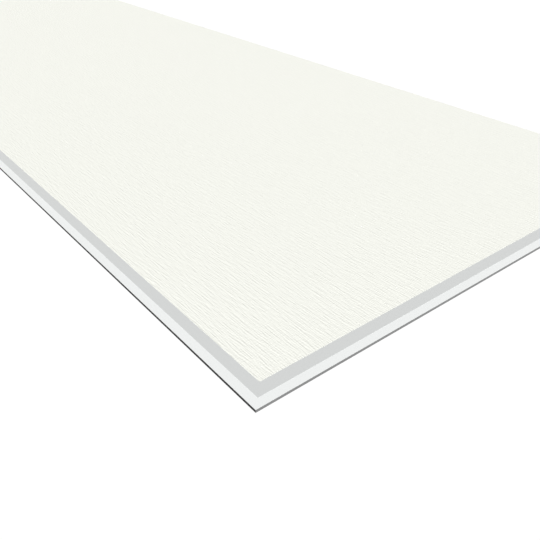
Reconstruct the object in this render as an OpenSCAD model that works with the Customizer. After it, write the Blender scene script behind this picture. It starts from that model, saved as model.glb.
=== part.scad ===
// Layered wall panel board, lying flat with its decor face up.
//
// A stiff base board carries three thin bonded sheets: white, grey and an
// embossed decor sheet on top. All four layers end flush on one long side (+Y)
// and at one end (-X). On the other long side (-Y) and at the other end (+X)
// the sheets are set back one after the other, so each layer below shows as a
// flat ledge.
//
// Units are millimetres. +X runs along the length, +Y across the width and +Z
// out of the decor face. The origin is at the centre of the base board's back.

/* [Board] */
// Length of the whole board
panel_length = 3000; // [1000:50:4000]
// Width of the whole board
panel_width = 1000; // [300:25:1500]

/* [Layer thickness] */
// Thickness of the dark base board
base_thickness = 4.5; // [2:0.5:12]
// Thickness of the white sheet bonded to the base board
white_thickness = 0.15; // [0.1:0.05:1]
// Thickness of the grey sheet bonded to the white sheet
grey_thickness = 0.15; // [0.1:0.05:1]
// Thickness of the embossed decor sheet on top
decor_thickness = 0.2; // [0.2:0.05:1.5]

/* [Stepped edges] */
// Width of the white ledge, the same along the side and at the end
white_ledge = 13.3; // [2:0.1:40]
// Width of the grey ledge along the long side
grey_ledge_side = 17.2; // [2:0.1:40]
// Width of the grey ledge at the end
grey_ledge_end = 19.4; // [2:0.1:40]

/* [Hidden] */

// Height of each layer's underside: every layer starts where the last one ends.
white_bottom = base_thickness;
grey_bottom = white_bottom + white_thickness;
decor_bottom = grey_bottom + grey_thickness;

// How far each sheet stays back from the base board's stepped side and end.
grey_setback = white_ledge;
decor_setback_side = grey_setback + grey_ledge_side;
decor_setback_end = grey_setback + grey_ledge_end;

base_colour = "#6E6E6E";
white_colour = "#F0F2F1";
grey_colour = "#D4D6D5";
decor_colour = "#F5F6EE";

// One flat layer. It always reaches the flush side (+Y) and the flush end (-X),
// and stays the given distances back from the stepped side (-Y) and end (+X).
module layer(bottom, thickness, setback_side, setback_end) {
    translate([-panel_length / 2, -panel_width / 2 + setback_side, bottom])
        cube([panel_length - setback_end, panel_width - setback_side, thickness]);
}

// The stiff board that gives the panel its outline and rests against the wall.
module base_board() {
    color(base_colour)
        layer(bottom = 0, thickness = base_thickness, setback_side = 0, setback_end = 0);
}

// The white sheet covers the whole base board.
module white_sheet() {
    color(white_colour)
        layer(bottom = white_bottom, thickness = white_thickness, setback_side = 0, setback_end = 0);
}

// The grey sheet leaves the white ledge bare on the two stepped edges.
module grey_sheet() {
    color(grey_colour)
        layer(bottom = grey_bottom, thickness = grey_thickness,
              setback_side = grey_setback, setback_end = grey_setback);
}

// The decor sheet leaves the grey ledge bare on the two stepped edges.
module decor_sheet() {
    color(decor_colour)
        layer(bottom = decor_bottom, thickness = decor_thickness,
              setback_side = decor_setback_side, setback_end = decor_setback_end);
}

base_board();
white_sheet();
grey_sheet();
decor_sheet();
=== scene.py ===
"""Wall panel board: a dark base board under a white, a grey and an embossed cream decor sheet.

The board lies flat with its decor face up. Along one long side and at one end the sheets
are set back one after the other, so each layer shows as a narrow flat ledge. Every piece
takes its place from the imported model's nodes, and all lengths are in metres.
"""

import math

import bmesh
import bpy
from bpy.props import FloatProperty, FloatVectorProperty, IntProperty, PointerProperty
from bpy.types import Operator, Panel, PropertyGroup
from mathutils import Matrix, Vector


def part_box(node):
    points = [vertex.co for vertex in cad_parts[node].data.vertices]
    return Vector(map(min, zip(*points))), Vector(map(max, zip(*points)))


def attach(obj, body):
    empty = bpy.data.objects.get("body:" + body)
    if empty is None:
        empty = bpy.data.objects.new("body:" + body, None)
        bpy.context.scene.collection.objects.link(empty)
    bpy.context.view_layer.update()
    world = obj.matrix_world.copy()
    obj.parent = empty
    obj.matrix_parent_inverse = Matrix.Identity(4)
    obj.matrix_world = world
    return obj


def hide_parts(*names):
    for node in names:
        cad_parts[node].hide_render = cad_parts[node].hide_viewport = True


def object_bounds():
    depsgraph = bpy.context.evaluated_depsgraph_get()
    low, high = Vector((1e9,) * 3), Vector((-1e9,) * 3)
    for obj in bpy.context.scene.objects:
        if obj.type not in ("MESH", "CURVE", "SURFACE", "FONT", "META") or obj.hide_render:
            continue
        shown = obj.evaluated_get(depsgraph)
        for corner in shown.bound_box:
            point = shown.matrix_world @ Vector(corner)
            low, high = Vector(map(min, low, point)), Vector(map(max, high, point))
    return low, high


bl_info = {
    "name": "Layered Wall Panel Board",
    "version": (1, 0, 0),
    "blender": (4, 5, 0),
    "location": "3D View > Sidebar > Wall Panel",
    "description": "Builds the base board, the backing sheets, the embossed decor sheet and a studio",
    "category": "Add Mesh",
}

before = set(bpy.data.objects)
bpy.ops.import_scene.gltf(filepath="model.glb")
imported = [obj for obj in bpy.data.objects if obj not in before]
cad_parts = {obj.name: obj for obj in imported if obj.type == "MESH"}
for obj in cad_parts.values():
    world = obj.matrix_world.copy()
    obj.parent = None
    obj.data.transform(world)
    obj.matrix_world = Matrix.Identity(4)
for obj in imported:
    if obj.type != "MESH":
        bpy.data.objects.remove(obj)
CAD_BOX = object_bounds()
BODY = "root"
MM = 0.001
# Points nearer to each other than this are taken to be in the same place.
TOUCH = 0.01 * MM
# Places of the axes in a vector.
X, Y, Z = range(3)

# The middle of a value that runs from 0 to 1.
MIDDLE = 0.5
WHITE = (1.0, 1.0, 1.0, 1.0)
# Places of the sockets that share their name with others on the same node.
MIX_FACTOR, MIX_LOW, MIX_HIGH, MIX_RESULT = 0, 6, 7, 2
COMPARE_A, COMPARE_B = 2, 3

# The attribute that holds each point's place along and across the grain, and how far it is pressed.
GRAIN_ATTRIBUTE = "grain_place"
# Levels at which the patterns are cut out of the noise, far enough apart to be unlike each other.
THREAD_LEVEL, FINE_LEVEL, BROAD_LEVEL = 11.0, 20.0, 27.0
SANDING_LEVEL = 2.0
# The share of a pitch between two noises whose difference makes even streaks.
STREAK_STEP = 0.5

# The share of the rim in which the outermost points stay exactly in line.
RIM_START = 0.01
# How strongly the noise drives the pressed lines, and how far its seed is from that of their wander.
PRESS_GAIN = 0.9
PRESS_SEED_STEP = 9.0
# The steps in which an eased edge is rounded, and the profile that makes the round circular.
ROUND_SEGMENTS = 3
ROUND_PROFILE = 0.5

# The name of a piece's own map for baking, and the space left at the map's ends.
BAKE_MAP = "OFBake"
BAKE_MARGIN = 0.004
# Where each side's strip of the map starts and how high it is. A side is named by the axis that it
# faces along, and whether it faces up that axis.
BAKE_STRIPS = {
    (Z, True): (0.060, 0.935),
    (Z, False): (0.004, 0.020),
    (Y, True): (0.030, 0.004),
    (Y, False): (0.037, 0.004),
    (X, True): (0.044, 0.004),
    (X, False): (0.051, 0.004),
}

# The strength of a sun that lights a white face square to it to full white.
FULL_SUN = math.pi
# The camera's sensor in millimetres, and the nearest and farthest that it sees.
SENSOR_WIDTH = 36.0
CLIP_START, CLIP_END = 0.01, 200.0


# ---------------------------------------------------------------- node helpers

def opaque(colour):
    """A colour with the fourth value that a node's colour socket takes."""
    return (*colour, 1.0)


def shade(colour, factor):
    """A colour made lighter or darker by a factor."""
    return tuple(channel * factor for channel in colour)


class Socket:
    """An output of a node that can stand in a Python expression."""

    def __init__(self, nodes, socket):
        self.nodes = nodes
        self.socket = socket

    def maths(self, operation, *values):
        return self.nodes.add("ShaderNodeMath", {"operation": operation}, values)

    def __add__(self, other):
        return self.maths("ADD", self, other)

    def __radd__(self, other):
        return self.maths("ADD", other, self)

    def __sub__(self, other):
        return self.maths("SUBTRACT", self, other)

    def __rsub__(self, other):
        return self.maths("SUBTRACT", other, self)

    def __mul__(self, other):
        return self.maths("MULTIPLY", self, other)

    def __rmul__(self, other):
        return self.maths("MULTIPLY", other, self)

    def __truediv__(self, other):
        return self.maths("DIVIDE", self, other)

    def __abs__(self):
        return self.maths("ABSOLUTE", self)

    def least(self, other):
        return self.maths("MINIMUM", self, other)

    def most(self, other):
        return self.maths("MAXIMUM", self, other)

    def to_unit(self):
        """Limits the value to 0..1."""
        return self.least(1.0).most(0.0)

    def around_middle(self):
        """Moves a value around 0 to the middle of 0..1 and limits it to that range."""
        return (self + MIDDLE).to_unit()


class Nodes:
    """Adds nodes to one shader or geometry tree."""

    def __init__(self, tree):
        self.tree = tree

    def add(self, kind, settings=None, inputs=(), out=0):
        """Adds a node, sets it up, feeds its inputs, and returns one of its outputs."""
        node = self.tree.nodes.new(kind)
        for name, value in (settings or {}).items():
            setattr(node, name, value)
        pairs = inputs.items() if isinstance(inputs, dict) else enumerate(inputs)
        for key, value in pairs:
            if isinstance(value, Socket):
                self.tree.links.new(value.socket, node.inputs[key])
            else:
                node.inputs[key].default_value = value
        return Socket(self, node.outputs[out]) if len(node.outputs) else None

    def other(self, socket, name):
        """Another output of the node that a socket belongs to."""
        return Socket(self, socket.socket.node.outputs[name])

    def vector(self, x, y, z):
        return self.add("ShaderNodeCombineXYZ", inputs=(x, y, z))

    def axes(self, vector):
        """The three components of a vector."""
        x = self.add("ShaderNodeSeparateXYZ", inputs=(vector,))
        return x, self.other(x, "Y"), self.other(x, "Z")

    def noise(self, vector, detail=0.0, roughness=0.5):
        """Noise with features about one unit long, around 0 and within -1..1."""
        fac = self.add(
            "ShaderNodeTexNoise",
            {"noise_dimensions": "3D"},
            {"Vector": vector, "Scale": 1.0, "Detail": detail, "Roughness": roughness},
        )
        return fac * 2.0 - 1.0

    def mix_colour(self, factor, low, high):
        """Goes from the low colour to the high one as the factor goes from 0 to 1."""
        return self.add(
            "ShaderNodeMix", {"data_type": "RGBA"},
            {MIX_FACTOR: factor, MIX_LOW: low, MIX_HIGH: high}, MIX_RESULT,
        )

    def toned(self, tone, colour, spread):
        """A colour that is darker by a share of itself where the tone is 0, and lighter where it is 1."""
        low, high = (opaque(shade(colour, factor)) for factor in (1.0 - spread, 1.0 + spread))
        return self.mix_colour(tone, low, high)


# ---------------------------------------------------------------- materials

def new_material(name):
    """A material with its nodes cleared. Returns the material and its node adder."""
    material = bpy.data.materials.new(name)
    material.use_nodes = True
    material.node_tree.nodes.clear()
    return material, Nodes(material.node_tree)


def finish_surface(nodes, colour, roughness, height, depth, specular):
    """Ends a tree in a matt surface whose height field is depth metres deep."""
    normal = nodes.add("ShaderNodeBump", inputs={"Strength": 1.0, "Distance": depth, "Height": height})
    surface = nodes.add("ShaderNodeBsdfPrincipled", inputs={
        "Base Color": colour, "Roughness": roughness,
        "Specular IOR Level": specular, "Normal": normal,
    })
    nodes.add("ShaderNodeOutputMaterial", inputs={"Surface": surface})


def decor_material(settings):
    """Cream matt film with fine wood streaks pressed into it, over faint threads that run across."""
    material, nodes = new_material("decor_cream_embossed")
    place = nodes.add("ShaderNodeAttribute", {"attribute_name": GRAIN_ATTRIBUTE}, out="Vector")
    along, across, press = nodes.axes(place)

    def streaks(length, pitch, level):
        """Even streaks: a noise less the same noise a step further across, so no slow swell is left."""
        here = nodes.noise(nodes.vector(along / length, across / pitch, level))
        beside = nodes.noise(nodes.vector(along / length, across / pitch + STREAK_STEP, level))
        return here - beside

    fine = streaks(settings.fine_length, settings.fine_pitch, FINE_LEVEL)
    broad = streaks(settings.broad_length, settings.broad_pitch, BROAD_LEVEL)
    threads = nodes.noise(
        nodes.vector(along / settings.thread_pitch, across / settings.thread_length, THREAD_LEVEL)
    )
    height = fine * settings.fine_share + broad * settings.broad_share + threads * settings.thread_share
    tone = (height * settings.tone_contrast + (MIDDLE - press) * settings.press_shade).around_middle()
    colour = nodes.toned(tone, settings.colour, settings.tone_range)
    roughness = settings.roughness + (press - MIDDLE) * settings.groove_roughness
    finish_surface(nodes, colour, roughness, height, settings.streak_depth, settings.specular)
    return material


def plain_sheet_material(name, colour, settings):
    """Smooth matt backing sheet with a faint fibrous mottle."""
    material, nodes = new_material(name)
    x, y, z = nodes.axes(nodes.add("ShaderNodeTexCoord", out="Object"))
    size, length, pitch = settings.mottle_size, settings.fibre_length, settings.fibre_pitch
    mottle = nodes.noise(nodes.vector(x / size, y / size, z / size), detail=3.0, roughness=0.6)
    fibre = nodes.noise(nodes.vector(x / length, y / pitch, z / pitch), detail=2.0)
    tone = ((mottle + fibre) * settings.tone_contrast).around_middle()
    surface_colour = nodes.toned(tone, colour, settings.tone_range)
    roughness = settings.roughness + mottle * settings.roughness_range
    finish_surface(nodes, surface_colour, roughness, fibre, settings.fibre_depth, settings.specular)
    return material


def base_board_material(settings):
    """Filled board: long edges much darker than the sawn ends as painted shade, both with saw marks, and a
    sanded back.
    """
    material, nodes = new_material("base_board_dark")
    x, y, z = nodes.axes(nodes.add("ShaderNodeTexCoord", out="Object"))
    speck = settings.speck_size
    specks = nodes.noise(nodes.vector(x / speck, y / speck, z / speck), detail=1.0)
    upright = nodes.vector((x + y) / settings.saw_pitch, z / settings.saw_length, 0.0)
    saw = nodes.noise(upright, detail=2.0, roughness=0.6)
    lengthways = nodes.vector(x / settings.sanding_length, y / settings.sanding_pitch, SANDING_LEVEL)
    sanding = nodes.noise(lengthways, detail=2.0)
    _, toward_y, toward_z = nodes.axes(nodes.add("ShaderNodeNewGeometry", out="Normal"))
    long_edge, flat_face = abs(toward_y), abs(toward_z)
    cut = saw * (1.0 - flat_face)
    tone = ((cut + specks + sanding * flat_face) * settings.tone_contrast).around_middle()
    sawn = nodes.toned(tone, settings.colour, settings.tone_range)
    # Painted shade: the long edges get a far darker colour than the ends, so that one side of the board
    # looks shaded.
    shaded = nodes.toned(tone, settings.shaded_edge_colour, settings.tone_range)
    colour = nodes.mix_colour(long_edge, sawn, shaded)
    roughness = settings.roughness + cut * settings.roughness_range
    finish_surface(nodes, colour, roughness, cut, settings.saw_depth, settings.specular)
    return material


# ---------------------------------------------------------------- meshes

def new_piece(name, mesh, material, node):
    """Puts a finished mesh in the scene as the piece that stands for a node."""
    piece = bpy.data.objects.new(name, mesh)
    bpy.context.collection.objects.link(piece)
    if material.name not in mesh.materials:
        mesh.materials.append(material)
    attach(piece, BODY)
    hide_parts(node)


def plate_mesh(name, low, high, eased_edges, ease):
    """A closed plate from low to high. eased_edges picks the edges that get a small round."""
    body = bmesh.new()
    bmesh.ops.create_cube(body, size=1.0)
    centre = (low + high) / 2
    for corner in body.verts:
        corner.co = Vector(c * s for c, s in zip(corner.co, high - low)) + centre
    chosen = [edge for edge in body.edges if eased_edges((edge.verts[0].co + edge.verts[1].co) / 2)]
    bmesh.ops.bevel(
        body, geom=chosen, offset=ease, segments=ROUND_SEGMENTS, profile=ROUND_PROFILE, affect="EDGES",
    )
    mesh = bpy.data.meshes.new(name)
    body.to_mesh(mesh)
    body.free()
    return mesh


def embossed_sheet_tree():
    """Geometry nodes: a closed sheet whose top is pressed into long wandering grain lines.

    Inside its straight rim, the top's rows of points follow the grain, so each row is a
    crest, a flank or a groove. The place of each point among the grain lines is kept as
    an attribute, and the finer grain of the material follows it.
    """
    tree = bpy.data.node_groups.new("embossed_sheet", "GeometryNodeTree")
    nodes = Nodes(tree)
    inputs = {
        "Length": "NodeSocketFloat", "Width": "NodeSocketFloat", "Thickness": "NodeSocketFloat",
        "Columns": "NodeSocketInt", "Rows": "NodeSocketInt",
        "Grain Length": "NodeSocketFloat", "Grain Pitch": "NodeSocketFloat",
        "Grain Depth": "NodeSocketFloat", "Wander": "NodeSocketFloat",
        "Wander Length": "NodeSocketFloat", "Rim": "NodeSocketFloat",
        "Centre": "NodeSocketVector", "Seed": "NodeSocketFloat", "Material": "NodeSocketMaterial",
    }
    for name, kind in inputs.items():
        tree.interface.new_socket(name=name, in_out="INPUT", socket_type=kind)
    tree.interface.new_socket(name="Geometry", in_out="OUTPUT", socket_type="NodeSocketGeometry")
    group = nodes.add("NodeGroupInput")

    def given(name):
        return nodes.other(group, name)

    length, width, thickness = given("Length"), given("Width"), given("Thickness")
    top = nodes.add("GeometryNodeMeshGrid", inputs={
        "Size X": length, "Size Y": width,
        "Vertices X": given("Columns") + 1, "Vertices Y": given("Rows") + 1,
    })
    x, y, _ = nodes.axes(nodes.add("GeometryNodeInputPosition"))
    wander = given("Wander") * nodes.noise(
        nodes.vector(x / given("Wander Length"), y / given("Wander Length"), given("Seed"))
    )
    from_edge = (length / 2 - abs(x)).least(width / 2 - abs(y))
    inside = (from_edge / given("Rim") - RIM_START).to_unit()
    strayed = nodes.add("GeometryNodeSetPosition", inputs={
        "Geometry": top, "Offset": nodes.vector(0.0, wander * inside, 0.0),
    })
    across = y - wander
    lines = nodes.vector(
        x / given("Grain Length"), across / given("Grain Pitch"), given("Seed") + PRESS_SEED_STEP
    )
    # The outermost points lie level, so the cut edge of the sheet is straight.
    off_the_cut = (from_edge * given("Rows") / width).to_unit()
    press = (nodes.noise(lines, detail=1.0) * off_the_cut * PRESS_GAIN).around_middle()
    marked = nodes.add(
        "GeometryNodeStoreNamedAttribute", {"data_type": "FLOAT_VECTOR", "domain": "POINT"},
        {"Geometry": strayed, "Name": GRAIN_ATTRIBUTE, "Value": nodes.vector(x, across, press)},
    )
    raised = nodes.add("GeometryNodeSetPosition", inputs={
        "Geometry": marked, "Offset": nodes.vector(0.0, 0.0, thickness - given("Grain Depth") * press),
    })
    smooth = nodes.add("GeometryNodeSetShadeSmooth", inputs={"Geometry": raised})

    # The edges of the rim have one face beside them. They are drawn down to make the cut edge.
    faces_beside = nodes.add("GeometryNodeInputMeshEdgeNeighbors")
    rim_edges = nodes.add(
        "FunctionNodeCompare", {"data_type": "INT", "operation": "EQUAL"},
        {COMPARE_A: faces_beside, COMPARE_B: 1},
    )
    walled = nodes.add("GeometryNodeExtrudeMesh", {"mode": "EDGES"}, {
        "Mesh": smooth, "Selection": rim_edges,
        "Offset": nodes.vector(0.0, 0.0, -1.0), "Offset Scale": thickness,
    })
    foot, walls = nodes.other(walled, "Top"), nodes.other(walled, "Side")
    x_now, y_now, _ = nodes.axes(nodes.add("GeometryNodeInputPosition"))
    levelled = nodes.add("GeometryNodeSetPosition", inputs={
        "Geometry": walled, "Selection": foot, "Position": nodes.vector(x_now, y_now, 0.0),
    })
    crisp = levelled
    for domain in ("FACE", "EDGE"):
        crisp = nodes.add(
            "GeometryNodeSetShadeSmooth", {"domain": domain},
            {"Geometry": crisp, "Selection": walls, "Shade Smooth": False},
        )
    moved = nodes.add("GeometryNodeTransform", inputs={"Geometry": crisp, "Translation": given("Centre")})
    real = nodes.add("GeometryNodeRealizeInstances", inputs={"Geometry": moved})
    coated = nodes.add("GeometryNodeSetMaterial", inputs={"Geometry": real, "Material": given("Material")})
    nodes.add("NodeGroupOutput", inputs={"Geometry": coated})
    return tree


def grown_mesh(name, tree, values):
    """Runs a geometry tree once, closes the result and returns it as a plain mesh."""
    host = bpy.data.objects.new(name, bpy.data.meshes.new(name))
    bpy.context.collection.objects.link(host)
    modifier = host.modifiers.new("grow", "NODES")
    modifier.node_group = tree
    for item in tree.interface.items_tree:
        if item.in_out == "INPUT":
            modifier[item.identifier] = values[item.name]
    shape = host.evaluated_get(bpy.context.evaluated_depsgraph_get())
    mesh = bpy.data.meshes.new_from_object(shape)
    bpy.data.objects.remove(host)
    body = bmesh.new()
    body.from_mesh(mesh)
    open_edges = [edge for edge in body.edges if edge.is_boundary]
    bmesh.ops.holes_fill(body, edges=open_edges, sides=len(open_edges))
    bmesh.ops.recalc_face_normals(body, faces=body.faces)
    body.to_mesh(mesh)
    body.free()
    return mesh


def add_bake_map(mesh, low, high):
    """Lays the faces out on a map for baking.

    The grained top fills nearly the whole square, so that a baked model keeps the fine streaks.
    The back and the four cut edges lie in narrow strips beside it.
    """
    size = high - low
    shares = [
        [(c - start) / span for c, start, span in zip(vertex.co, low, size)]
        for vertex in mesh.vertices
    ]
    places = mesh.uv_layers.new(name=BAKE_MAP).data
    for face in mesh.polygons:
        way = max((X, Y, Z), key=lambda axis: abs(face.normal[axis]))
        start, height = BAKE_STRIPS[way, face.normal[way] > 0]
        along, up = (axis for axis in (X, Y, Z) if axis != way)
        for corner in face.loop_indices:
            share = shares[mesh.loops[corner].vertex_index]
            u = BAKE_MARGIN + (1 - 2 * BAKE_MARGIN) * share[along]
            places[corner].uv = (u, start + height * share[up])


# ---------------------------------------------------------------- settings

class DecorSettings(PropertyGroup):
    """Sizes and finish of the embossed decor sheet."""
    colour: FloatVectorProperty(
        name="Cream", description="Colour of the decor sheet",
        default=(0.925, 0.931, 0.867), subtype="COLOR", size=3, min=0, max=1,
    )
    grain_pitch: FloatProperty(
        name="Grain pitch", description="Distance from one pressed grain line to the next",
        default=2.8 * MM, unit="LENGTH",
    )
    grain_length: FloatProperty(
        name="Grain length", description="Length over which a grain line keeps its depth",
        default=90 * MM, unit="LENGTH",
    )
    grain_depth: FloatProperty(
        name="Grain depth", description="How deep the grain lines are pressed",
        default=0.08 * MM, unit="LENGTH",
    )
    wander: FloatProperty(
        name="Wander", description="How far the grain lines stray sideways",
        default=3 * MM, unit="LENGTH",
    )
    wander_length: FloatProperty(
        name="Wander length", description="Length over which the grain lines stray",
        default=260 * MM, unit="LENGTH",
    )
    rim: FloatProperty(
        name="Rim", description="Width of the border in which the mesh rows straighten",
        default=30 * MM, unit="LENGTH",
    )
    seed: FloatProperty(
        name="Seed", description="Picks another run of the same grain",
        default=3.0,
    )
    fine_pitch: FloatProperty(
        name="Fine streak pitch", description="Spacing of the fine streaks",
        default=2.3 * MM, unit="LENGTH",
    )
    fine_length: FloatProperty(
        name="Fine streak length", description="Length of the fine streaks",
        default=14 * MM, unit="LENGTH",
    )
    broad_pitch: FloatProperty(
        name="Broad streak pitch", description="Spacing of the broad streaks",
        default=4.5 * MM, unit="LENGTH",
    )
    broad_length: FloatProperty(
        name="Broad streak length", description="Length of the broad streaks",
        default=24 * MM, unit="LENGTH",
    )
    thread_pitch: FloatProperty(
        name="Thread pitch", description="Spacing of the threads across the grain",
        default=2 * MM, unit="LENGTH",
    )
    thread_length: FloatProperty(
        name="Thread length", description="Length of the threads across the grain",
        default=7 * MM, unit="LENGTH",
    )
    fine_share: FloatProperty(
        name="Fine share", description="Share of the relief that the fine streaks take",
        default=0.85, min=0,
    )
    broad_share: FloatProperty(
        name="Broad share", description="Share of the relief that the broad streaks take",
        default=0.66, min=0,
    )
    thread_share: FloatProperty(
        name="Thread share", description="Share of the relief that the threads take",
        default=0.38, min=0,
    )
    streak_depth: FloatProperty(
        name="Streak depth", description="Depth of the fine relief",
        default=0.335 * MM, unit="LENGTH",
    )
    tone_contrast: FloatProperty(
        name="Tone contrast", description="How fast the colour follows the relief",
        default=1.6, min=0,
    )
    tone_range: FloatProperty(
        name="Tone range", description="Largest change of brightness in the grain",
        default=0.016, subtype="FACTOR", min=0, max=1,
    )
    press_shade: FloatProperty(
        name="Pressed shade", description="How much darker the pressed grain lines are",
        default=0.5, min=0,
    )
    roughness: FloatProperty(
        name="Roughness", description="Roughness of the film",
        default=0.68, subtype="FACTOR", min=0, max=1,
    )
    groove_roughness: FloatProperty(
        name="Groove roughness", description="How much rougher the pressed grain lines are",
        default=0.08, min=0,
    )
    specular: FloatProperty(
        name="Specular", description="Strength of the film's gloss",
        default=0.03, subtype="FACTOR", min=0, max=1,
    )
    rows: IntProperty(
        name="Rows", description="Mesh rows across the sheet",
        default=730, min=2,
    )
    columns: IntProperty(
        name="Columns", description="Mesh columns along the sheet",
        default=133, min=2,
    )


class BackingSettings(PropertyGroup):
    """Finish of the white and the grey sheet."""
    white: FloatVectorProperty(
        name="White", description="Colour of the white sheet",
        default=(0.860, 0.876, 0.869), subtype="COLOR", size=3, min=0, max=1,
    )
    grey: FloatVectorProperty(
        name="Grey", description="Colour of the grey sheet",
        default=(0.643, 0.656, 0.650), subtype="COLOR", size=3, min=0, max=1,
    )
    mottle_size: FloatProperty(
        name="Mottle size", description="Size of the faint mottle",
        default=12 * MM, unit="LENGTH",
    )
    fibre_length: FloatProperty(
        name="Fibre length", description="Length of the fibres",
        default=4 * MM, unit="LENGTH",
    )
    fibre_pitch: FloatProperty(
        name="Fibre pitch", description="Spacing of the fibres",
        default=1.5 * MM, unit="LENGTH",
    )
    fibre_depth: FloatProperty(
        name="Fibre depth", description="How far the fibres stand out",
        default=0.01 * MM, unit="LENGTH",
    )
    tone_contrast: FloatProperty(
        name="Tone contrast", description="How fast the colour follows the mottle and the fibres",
        default=0.25, min=0,
    )
    tone_range: FloatProperty(
        name="Tone range", description="Largest change of brightness in the mottle",
        default=0.015, subtype="FACTOR", min=0, max=1,
    )
    roughness: FloatProperty(
        name="Roughness", description="Roughness of the sheets",
        default=0.6, subtype="FACTOR", min=0, max=1,
    )
    roughness_range: FloatProperty(
        name="Roughness range", description="Change of roughness in the mottle",
        default=0.05, min=0, max=1,
    )
    specular: FloatProperty(
        name="Specular", description="Strength of the sheets' gloss",
        default=0.3, subtype="FACTOR", min=0, max=1,
    )
    ease: FloatProperty(
        name="Eased edge", description="Round on the open top edges",
        default=0.03 * MM, unit="LENGTH",
    )


class BaseSettings(PropertyGroup):
    """Finish of the base board."""
    colour: FloatVectorProperty(
        name="Board", description="Colour of the sawn ends and the sanded back",
        default=(0.241, 0.241, 0.241), subtype="COLOR", size=3, min=0, max=1,
    )
    # Painted shade: the long edges take this much darker colour than the ends, so that they look as if in
    # shade.
    shaded_edge_colour: FloatVectorProperty(
        name="Shaded edges", description="Colour of the sealed long edges",
        default=(0.026, 0.026, 0.026), subtype="COLOR", size=3, min=0, max=1,
    )
    saw_pitch: FloatProperty(
        name="Saw mark pitch", description="Spacing of the saw marks",
        default=1.2 * MM, unit="LENGTH",
    )
    saw_length: FloatProperty(
        name="Saw mark length", description="Length of the upright saw marks",
        default=20 * MM, unit="LENGTH",
    )
    saw_depth: FloatProperty(
        name="Saw mark depth", description="Depth of the saw marks",
        default=0.03 * MM, unit="LENGTH",
    )
    speck_size: FloatProperty(
        name="Speck size", description="Size of the specks in the filler",
        default=0.9 * MM, unit="LENGTH",
    )
    sanding_pitch: FloatProperty(
        name="Sanding pitch", description="Spacing of the sanding streaks on the back",
        default=9 * MM, unit="LENGTH",
    )
    sanding_length: FloatProperty(
        name="Sanding length", description="Length of the sanding streaks on the back",
        default=350 * MM, unit="LENGTH",
    )
    tone_contrast: FloatProperty(
        name="Tone contrast", description="How fast the colour follows the specks and marks",
        default=1 / 3, min=0,
    )
    tone_range: FloatProperty(
        name="Tone range", description="Largest change of brightness in specks and marks",
        default=0.12, subtype="FACTOR", min=0, max=1,
    )
    roughness: FloatProperty(
        name="Roughness", description="Roughness of the board",
        default=0.65, subtype="FACTOR", min=0, max=1,
    )
    roughness_range: FloatProperty(
        name="Roughness range", description="Change of roughness in the saw marks",
        default=0.08, min=0, max=1,
    )
    specular: FloatProperty(
        name="Specular", description="Strength of the board's gloss",
        default=0.15, subtype="FACTOR", min=0, max=1,
    )
    ease: FloatProperty(
        name="Eased edge", description="Round on the edges of the back",
        default=0.1 * MM, unit="LENGTH",
    )


class StudioSettings(PropertyGroup):
    """Camera, light and floor."""
    azimuth: FloatProperty(
        name="Azimuth", description="Direction of view, 0 looks along +Y",
        default=math.radians(51.534), subtype="ANGLE",
    )
    elevation: FloatProperty(
        name="Elevation", description="Height of the view above the horizon",
        default=math.radians(33.255), subtype="ANGLE",
    )
    lens: FloatProperty(
        name="Lens", description="Focal length in millimetres",
        default=41.638, unit="CAMERA", min=1,
    )
    aim_from_end: FloatProperty(
        name="Aim from end", description="Aim point, in from the stepped end",
        default=0.210535, unit="LENGTH",
    )
    aim_from_side: FloatProperty(
        name="Aim from side", description="Aim point, in from the stepped side",
        default=0.187536, unit="LENGTH",
    )
    distance: FloatProperty(
        name="Distance", description="From the aim point to the camera",
        default=0.924953, unit="LENGTH",
    )
    key_strength: FloatProperty(
        name="Key light", description="Share of full light from the key",
        default=1.119, min=0,
    )
    key_direction: FloatVectorProperty(
        name="Key from", description="Direction the key light comes from",
        default=(0.629, -0.404, 0.665), subtype="DIRECTION", size=3,
    )
    key_softness: FloatProperty(
        name="Key softness", description="Angle that the key light fills",
        default=math.radians(25), subtype="ANGLE",
    )
    fill_strength: FloatProperty(
        name="Fill light", description="Strength of the even fill",
        default=0.26, min=0,
    )
    floor_colour: FloatVectorProperty(
        name="Floor", description="Colour of the floor",
        default=(0.47, 0.47, 0.47), subtype="COLOR", size=3, min=0, max=1,
    )
    floor_glow: FloatProperty(
        name="Floor glow", description="Share of the floor's white that no shadow reaches",
        default=0.91, min=0,
    )
    floor_shadow: FloatProperty(
        name="Floor shadow", description="Share of the floor's white that shadows take away",
        default=0.12, min=0,
    )
    floor_size: FloatProperty(
        name="Floor size", description="Side of the floor",
        default=60.0, unit="LENGTH",
    )
    floor_lap: FloatProperty(
        name="Floor lap", description="How far the floor reaches under the board",
        default=2 * MM, unit="LENGTH",
    )


# ---------------------------------------------------------------- operators

class PANEL_OT_base_board(Operator):
    """Make the dark base board with eased back edges"""
    bl_idname = "wall_panel.base_board"
    bl_label = "Base Board"

    def execute(self, context):
        settings = context.scene.wall_panel_base
        low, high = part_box("base_board")

        def back_edge(middle):
            """Edges of the back face."""
            return middle.z < low.z + TOUCH

        mesh = plate_mesh("base_board_cut", low, high, back_edge, settings.ease)
        new_piece("base_board_cut", mesh, base_board_material(settings), "base_board")
        return {"FINISHED"}


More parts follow.
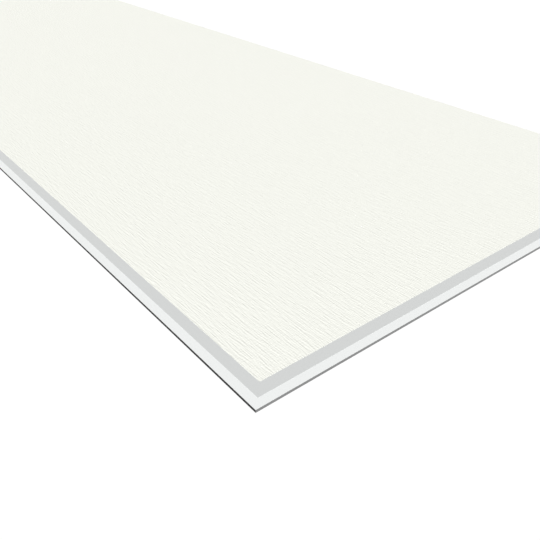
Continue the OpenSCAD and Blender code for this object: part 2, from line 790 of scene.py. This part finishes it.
class PANEL_OT_backing_sheets(Operator):
    """Make the white and the grey sheet with eased open edges"""
    bl_idname = "wall_panel.backing_sheets"
    bl_label = "Backing Sheets"

    def execute(self, context):
        settings = context.scene.wall_panel_backing
        for node, colour in (("white_sheet", settings.white), ("grey_sheet", settings.grey)):
            low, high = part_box(node)

            def open_edge(middle):
                """Top edges on the stepped end and the stepped side."""
                stepped = middle.x > high.x - TOUCH or middle.y < low.y + TOUCH
                return stepped and middle.z > high.z - TOUCH

            mesh = plate_mesh(f"{node}_cut", low, high, open_edge, settings.ease)
            material = plain_sheet_material(f"{node}_matt", colour, settings)
            new_piece(f"{node}_cut", mesh, material, node)
        return {"FINISHED"}


class PANEL_OT_decor_sheet(Operator):
    """Make the cream decor sheet with its embossed grain"""
    bl_idname = "wall_panel.decor_sheet"
    bl_label = "Decor Sheet"

    def execute(self, context):
        settings = context.scene.wall_panel_decor
        low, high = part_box("decor_sheet")
        size = high - low
        material = decor_material(settings)
        mesh = grown_mesh("decor_sheet_embossed", embossed_sheet_tree(), {
            "Length": size.x, "Width": size.y, "Thickness": size.z,
            "Columns": settings.columns, "Rows": settings.rows,
            "Grain Length": settings.grain_length, "Grain Pitch": settings.grain_pitch,
            "Grain Depth": settings.grain_depth, "Wander": settings.wander,
            "Wander Length": settings.wander_length, "Rim": settings.rim,
            "Centre": ((low.x + high.x) / 2, (low.y + high.y) / 2, low.z),
            "Seed": settings.seed, "Material": material,
        })
        add_bake_map(mesh, low, high)
        new_piece("decor_sheet_embossed", mesh, material, "decor_sheet")
        return {"FINISHED"}


class PANEL_OT_studio(Operator):
    """Set up the pale floor, the soft light and the camera"""
    bl_idname = "wall_panel.studio"
    bl_label = "Studio"

    def execute(self, context):
        settings = context.scene.wall_panel_studio
        make_floor(settings)
        make_light(settings)
        make_camera(settings)
        context.scene.view_settings.view_transform = "Standard"
        return {"FINISHED"}


def sees_backdrop(nodes):
    """1 on the rays that show the backdrop: those from the camera, from gloss and through glass."""
    camera = nodes.add("ShaderNodeLightPath", out="Is Camera Ray")
    gloss, glass = nodes.other(camera, "Is Glossy Ray"), nodes.other(camera, "Is Transmission Ray")
    return camera.most(gloss).most(glass)


def make_floor(settings):
    """A pale floor that shows as white and keeps the board's shadow.

    It is open under the board and clear from below, so the back of the board can be seen.
    """
    low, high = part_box("base_board")
    half, lap = settings.floor_size / 2, settings.floor_lap
    outer = ((-half, -half), (half, -half), (half, half), (-half, half))
    x_low, y_low, x_high, y_high = low.x + lap, low.y + lap, high.x - lap, high.y - lap
    inner = ((x_low, y_low), (x_high, y_low), (x_high, y_high), (x_low, y_high))
    points = [(x, y, low.z) for x, y in (*outer, *inner)]
    count = len(outer)
    sides = [(i, (i + 1) % count, (i + 1) % count + count, i + count) for i in range(count)]
    mesh = bpy.data.meshes.new("floor")
    mesh.from_pydata(points, [], sides)
    floor = bpy.data.objects.new("floor", mesh)
    bpy.context.collection.objects.link(floor)
    material, nodes = new_material("floor_pale")
    pale = nodes.add("ShaderNodeBsdfDiffuse", inputs={"Color": opaque(settings.floor_colour)})
    shadowed = nodes.add("ShaderNodeBsdfDiffuse", inputs={"Color": opaque([settings.floor_shadow] * 3)})
    glow = nodes.add("ShaderNodeEmission", inputs={"Color": WHITE, "Strength": settings.floor_glow})
    seen = nodes.add("ShaderNodeAddShader", inputs=(shadowed, glow))
    from_above = nodes.add("ShaderNodeMixShader", inputs=(sees_backdrop(nodes), pale, seen))
    clear = nodes.add("ShaderNodeBsdfTransparent")
    below = nodes.add("ShaderNodeNewGeometry", out="Backfacing")
    shown = nodes.add("ShaderNodeMixShader", inputs=(below, from_above, clear))
    nodes.add("ShaderNodeOutputMaterial", inputs={"Surface": shown})
    mesh.materials.append(material)


def make_light(settings):
    """One broad soft key and an even fill. A level face is lit at the level of its own colour."""
    key = bpy.data.lights.new("key", "SUN")
    key.energy = settings.key_strength * FULL_SUN
    key.angle = settings.key_softness
    lamp = bpy.data.objects.new("key", key)
    lamp.rotation_mode = "QUATERNION"
    lamp.rotation_quaternion = Vector(settings.key_direction).to_track_quat("Z", "Y")
    bpy.context.collection.objects.link(lamp)

    world = bpy.data.worlds.new("studio")
    bpy.context.scene.world = world
    world.use_nodes = True
    world.node_tree.nodes.clear()
    nodes = Nodes(world.node_tree)
    strength = sees_backdrop(nodes) * (1.0 - settings.fill_strength) + settings.fill_strength
    light = nodes.add("ShaderNodeBackground", inputs={"Color": WHITE, "Strength": strength})
    nodes.add("ShaderNodeOutputWorld", inputs={"Surface": light})


def make_camera(settings):
    """Looks down on the near corner, where the stepped end and the stepped side meet."""
    low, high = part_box("base_board")
    top = CAD_BOX[1].z
    aim = Vector((high.x - settings.aim_from_end, low.y + settings.aim_from_side, top))
    azimuth, elevation = settings.azimuth, settings.elevation
    back = Vector((
        math.sin(azimuth) * math.cos(elevation),
        -math.cos(azimuth) * math.cos(elevation),
        math.sin(elevation),
    ))
    data = bpy.data.cameras.new("camera")
    data.lens = settings.lens
    data.sensor_width = SENSOR_WIDTH
    data.clip_start = CLIP_START
    data.clip_end = CLIP_END
    camera = bpy.data.objects.new("camera", data)
    camera.location = aim + back * settings.distance
    camera.rotation_mode = "QUATERNION"
    camera.rotation_quaternion = (-back).to_track_quat("-Z", "Y")
    bpy.context.collection.objects.link(camera)
    bpy.context.scene.camera = camera


class PANEL_PT_wall_panel(Panel):
    """Lists the board's settings and the steps that build it"""
    bl_idname = "PANEL_PT_wall_panel"
    bl_label = "Wall Panel Board"
    bl_space_type = "VIEW_3D"
    bl_region_type = "UI"
    bl_category = "Wall Panel"

    def draw(self, context):
        for operator, group in STEPS:
            box = self.layout.box()
            settings = getattr(context.scene, group)
            for name in settings.__annotations__:
                box.prop(settings, name)
            box.operator(operator.bl_idname)


STEPS = (
    (PANEL_OT_studio, "wall_panel_studio"),
    (PANEL_OT_base_board, "wall_panel_base"),
    (PANEL_OT_backing_sheets, "wall_panel_backing"),
    (PANEL_OT_decor_sheet, "wall_panel_decor"),
)
GROUPS = {
    "wall_panel_studio": StudioSettings,
    "wall_panel_base": BaseSettings,
    "wall_panel_backing": BackingSettings,
    "wall_panel_decor": DecorSettings,
}
CLASSES = (*GROUPS.values(), *(operator for operator, _ in STEPS), PANEL_PT_wall_panel)


def register():
    for cls in CLASSES:
        bpy.utils.register_class(cls)
    for name, group in GROUPS.items():
        setattr(bpy.types.Scene, name, PointerProperty(type=group))


def unregister():
    for name in GROUPS:
        delattr(bpy.types.Scene, name)
    for cls in reversed(CLASSES):
        bpy.utils.unregister_class(cls)


def main():
    """Registers the add-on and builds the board."""
    register()
    bpy.ops.wall_panel.studio()
    bpy.ops.wall_panel.base_board()
    bpy.ops.wall_panel.backing_sheets()
    bpy.ops.wall_panel.decor_sheet()


if __name__ == "__main__":
    main()
